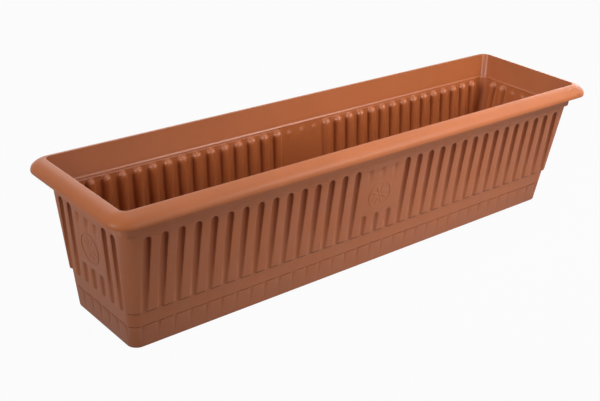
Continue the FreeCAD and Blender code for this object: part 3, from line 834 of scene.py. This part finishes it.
def build_medallion_tree():
    """Tree that makes one rosette and sets it on each of the four walls."""
    net, given = new_tree("Medallions", (
        ("Ring Radius", RING_R), ("Bead", BEAD), ("Petal Reach", PETAL_REACH), ("Petal Length", PETAL_LONG),
        ("Petal Width", PETAL_WIDE), ("Relief", RELIEF), ("Button", BUTTON), ("Height", MEDALLION_Z),
        ("Long Inset", WIDTH / 2 - land(MEDALLION_Z)), ("End Inset", LENGTH / 2 - land(MEDALLION_Z)),
        ("Lean", math.atan(SLOPE))))

    def circle(sides, radius):
        """Round curve."""
        made = net.node("GeometryNodeCurvePrimitiveCircle", {"mode": "RADIUS"}, Resolution=sides)
        net.feed(made.inputs["Radius"], radius * MM)
        return made.outputs[0]

    ring = net.node("GeometryNodeCurveToMesh", Curve=circle(RING_SIDES, given["Ring Radius"]))
    net.feed(ring.inputs["Profile Curve"], circle(BEAD_SIDES, given["Bead"]))
    ball = net.node("GeometryNodeMeshUVSphere", Segments=24, Rings=12, Radius=1.0)

    def ellipsoid(x, y, z):
        """The ball, stretched to three half widths."""
        scale = net.out("ShaderNodeCombineXYZ", X=x * MM, Y=y * MM, Z=z * MM)
        return net.out("GeometryNodeTransform", _0=ball.outputs[0], Scale=scale)

    petal = ellipsoid(given["Petal Length"], given["Petal Width"], given["Relief"])
    button = ellipsoid(given["Button"], given["Button"], given["Relief"])
    spots = net.node("GeometryNodeMeshCircle", Vertices=PETALS)
    net.feed(spots.inputs["Radius"], given["Petal Reach"] * MM)
    spot_place = net.out("GeometryNodeInputPosition")
    turn = net.math("ARCTAN2", spot_place.part(1), spot_place.part(0))
    petals = net.out("GeometryNodeInstanceOnPoints", Points=spots.outputs[0], Instance=petal,
                     Rotation=net.out("ShaderNodeCombineXYZ", Z=turn))
    halfway = net.out("GeometryNodeTransform", _0=petals, Rotation=(0.0, 0.0, math.pi / PETALS))
    rosette = net.node("GeometryNodeJoinGeometry")
    for part in (Sock(net, ring.outputs[0]), halfway, button):
        net.feed(rosette.inputs[0], part)
    upright = math.pi / 2 + given["Lean"]
    standing = net.out("GeometryNodeTransform", _0=rosette.outputs[0],
                       Rotation=net.out("ShaderNodeCombineXYZ", X=upright))
    all_walls = net.node("GeometryNodeJoinGeometry")
    for quarter, label in enumerate(("Long Inset", "End Inset") * 2):
        away = given[label] * MM
        out = net.out("GeometryNodeTransform", _0=standing,
                      Translation=net.out("ShaderNodeCombineXYZ", Y=away * -1.0, Z=given["Height"] * MM))
        turned = net.out("GeometryNodeTransform", _0=out, Rotation=(0.0, 0.0, quarter * math.pi / 2))
        net.feed(all_walls.inputs[0], turned)
    finish_tree(net, all_walls.outputs[0], given["Material"])
    return net.tree


medallions = add_object("medallions", bpy.data.meshes.new("medallions"))
run_tree(medallions, build_medallion_tree(), TERRACOTTA)
print("medallion faces", len(medallions.data.polygons))

# %% [markdown]
# Every piece now takes the place of its measured part and moves with it: the walls, floor
# and medallions lift with the trough, the rest stays with the tray.

# %% Tie the pieces to the measured parts
SAME_PLACE = 1e-6          # metres between points that are merged
EDGE_ANGLE = 30.0          # an edge sharper than this stays sharp


def clean(made):
    """Merge doubles, turn every face outwards and shade it smooth."""
    mesh = bmesh.new()
    mesh.from_mesh(made.data)
    bmesh.ops.remove_doubles(mesh, verts=mesh.verts, dist=SAME_PLACE)
    bmesh.ops.recalc_face_normals(mesh, faces=mesh.faces)
    mesh.to_mesh(made.data)
    mesh.free()
    made.data.shade_smooth()
    made.data.set_sharp_from_angle(angle=math.radians(EDGE_ANGLE))


for piece in (trough, trough_floor, medallions):
    clean(piece)
    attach(piece, "trough")
    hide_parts("trough")
for piece in (tray, tray_floor):
    clean(piece)
    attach(piece, "tray")
    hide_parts("drip_tray")
for piece in (trough, trough_floor, medallions, tray, tray_floor):
    print(piece.name, "triangles", sum(len(face.vertices) - 2 for face in piece.data.polygons))

# %% [markdown]
# The box is photographed on white. The floor is a large sheet that curves up behind. The
# camera sees it as white paper, but it throws back only as much light as grey paper would,
# because a white sheet would wash out the lower walls and the tray. It lies a little under
# the tray, so that no two faces share one plane.

# %% Floor and backdrop
SHEET_GREY, PAPER_SHARE = 0.16, 0.96
SHEET_Z, SHEET_HALF = -0.0003, 5.0


def white_to_camera(net, shader, share):
    """Mix a plain shader with white paper for rays from the camera, gloss and glass."""
    rays = net.node("ShaderNodeLightPath")
    seen = Sock(net, rays.outputs["Is Camera Ray"])
    for label in ("Is Glossy Ray", "Is Transmission Ray"):
        seen = seen.most(Sock(net, rays.outputs[label]))
    paper = net.node("ShaderNodeEmission", Color=(1.0, 1.0, 1.0, 1.0), Strength=1.0)
    return net.node("ShaderNodeMixShader", _0=seen * share, _1=shader.outputs[0], _2=paper.outputs[0])


def floor_material():
    """Grey paper that the camera sees as white."""
    material = bpy.data.materials.new("pale_floor")
    material.use_nodes = True
    net = Net(material.node_tree)
    net.tree.nodes.clear()
    sheet = net.node("ShaderNodeBsdfDiffuse", Color=(SHEET_GREY, SHEET_GREY, SHEET_GREY, 1.0))
    mixed = white_to_camera(net, sheet, PAPER_SHARE)
    net.node("ShaderNodeOutputMaterial", Surface=mixed.outputs[0])
    return material


def backdrop():
    """Floor sheet that sweeps up behind the box."""
    profile = [(-4.0, SHEET_Z), (2.0, SHEET_Z), (2.3, 0.06), (2.6, 0.3), (2.8, 0.7), (2.8, 3.5)]
    vertices = [(x, y, z) for y, z in profile for x in (-SHEET_HALF, SHEET_HALF)]
    faces = [(2 * i, 2 * i + 1, 2 * i + 3, 2 * i + 2) for i in range(len(profile) - 1)]
    made = mesh_object("floor_sheet", vertices, faces)
    made.data.materials.append(floor_material())
    return made


print("backdrop", backdrop().name)

# %% [markdown]
# Six softboxes stand round the box, as in a product studio. The key, at the front right, and
# the weaker one in front shape the lands and flutes. The one overhead and the strong one
# behind light the inside, and the two at the ends catch the rim there. Each has a grid that
# narrows its beam, so that one can be turned up without washing out the rest. A little white
# light from all round keeps the shadows open.

# %% Lamps and world
ROOM_LIGHT = 0.16
LAMPS = (          # name, place, aim and size in metres, power in watts, spread in degrees
    ("key_softbox", (0.5, -0.5, 0.72), (0.18, 0.0, 0.14), (0.4, 0.35), 0.85, 60.0),
    ("front_softbox", (0.1, -0.85, 0.4), (0.05, 0.0, 0.12), (0.6, 0.3), 0.6, 60.0),
    ("top_softbox", (0.1, 0.1, 1.3), (0.05, 0.0, 0.14), (0.9, 0.6), 1.9, 110.0),
    ("left_softbox", (-1.1, 0.0, 0.6), (-0.28, 0.03, 0.27), (0.8, 0.5), 0.88, 34.0),
    ("back_softbox", (0.2, 1.3, 1.0), (0.0, 0.0, 0.08), (1.0, 0.6), 3.4, 120.0),
    ("right_softbox", (1.4, 0.4, 0.5), (0.3, 0.0, 0.06), (0.6, 0.5), 0.8, 70.0),
)


def lamp(name, place, aim, size, power, spread):
    """Softbox of a size in metres, with a grid that narrows its beam to a spread in degrees."""
    light = bpy.data.lights.new(name, "AREA")
    light.shape = "RECTANGLE"
    light.size, light.size_y = size
    light.energy = power
    light.spread = math.radians(spread)
    made = add_object(name, light)
    made.location = place
    made.rotation_euler = (Vector(aim) - made.location).to_track_quat("-Z", "Y").to_euler()


for name, place, aim, size, power, spread in LAMPS:
    lamp(name, place, aim, size, power, spread)

world = bpy.data.worlds.new("studio")
bpy.context.scene.world = world
world.use_nodes = True
world_net = Net(world.node_tree)
world_net.tree.nodes.clear()
room = world_net.node("ShaderNodeBackground", Color=(1.0, 1.0, 1.0, 1.0), Strength=ROOM_LIGHT)
seen_white = white_to_camera(world_net, room, 1.0)
world_net.node("ShaderNodeOutputWorld", Surface=seen_white.outputs[0])

# %% [markdown]
# The camera was solved from the edges in the photograph. It looks down at the left end and
# the long front, a little rolled, from just under a metre away.

# %% Camera
TARGET = Vector((-81.03, -36.0, 85.0)) * MM
FOCAL_PX, AZIMUTH, ELEVATION, ROLL, DISTANCE = 1018.5, -41.12, 25.255, 3.02, 947.3
PHOTO_WIDTH, SENSOR = 600, 36.0


def place_camera():
    """Camera that looks at the target, from angles in degrees and a distance in millimetres."""
    az, el, roll = (math.radians(value) for value in (AZIMUTH, ELEVATION, ROLL))
    back = Vector((math.sin(az) * math.cos(el), -math.cos(az) * math.cos(el), math.sin(el)))
    right = Vector((math.cos(az), math.sin(az), 0.0))
    up = back.cross(right)
    rolled_right = right * math.cos(roll) + up * math.sin(roll)
    rolled_up = up * math.cos(roll) - right * math.sin(roll)
    data = bpy.data.cameras.new("camera")
    data.sensor_width = SENSOR
    data.lens = FOCAL_PX / PHOTO_WIDTH * SENSOR
    made = add_object("camera", data)
    turn = Matrix((rolled_right, rolled_up, back)).transposed().to_4x4()
    made.matrix_world = Matrix.Translation(TARGET + back * DISTANCE * MM) @ turn
    bpy.context.scene.camera = made
    return data.lens


print("lens", round(place_camera(), 2), "mm")
bpy.context.scene.view_settings.view_transform = "Standard"

# %% [markdown]
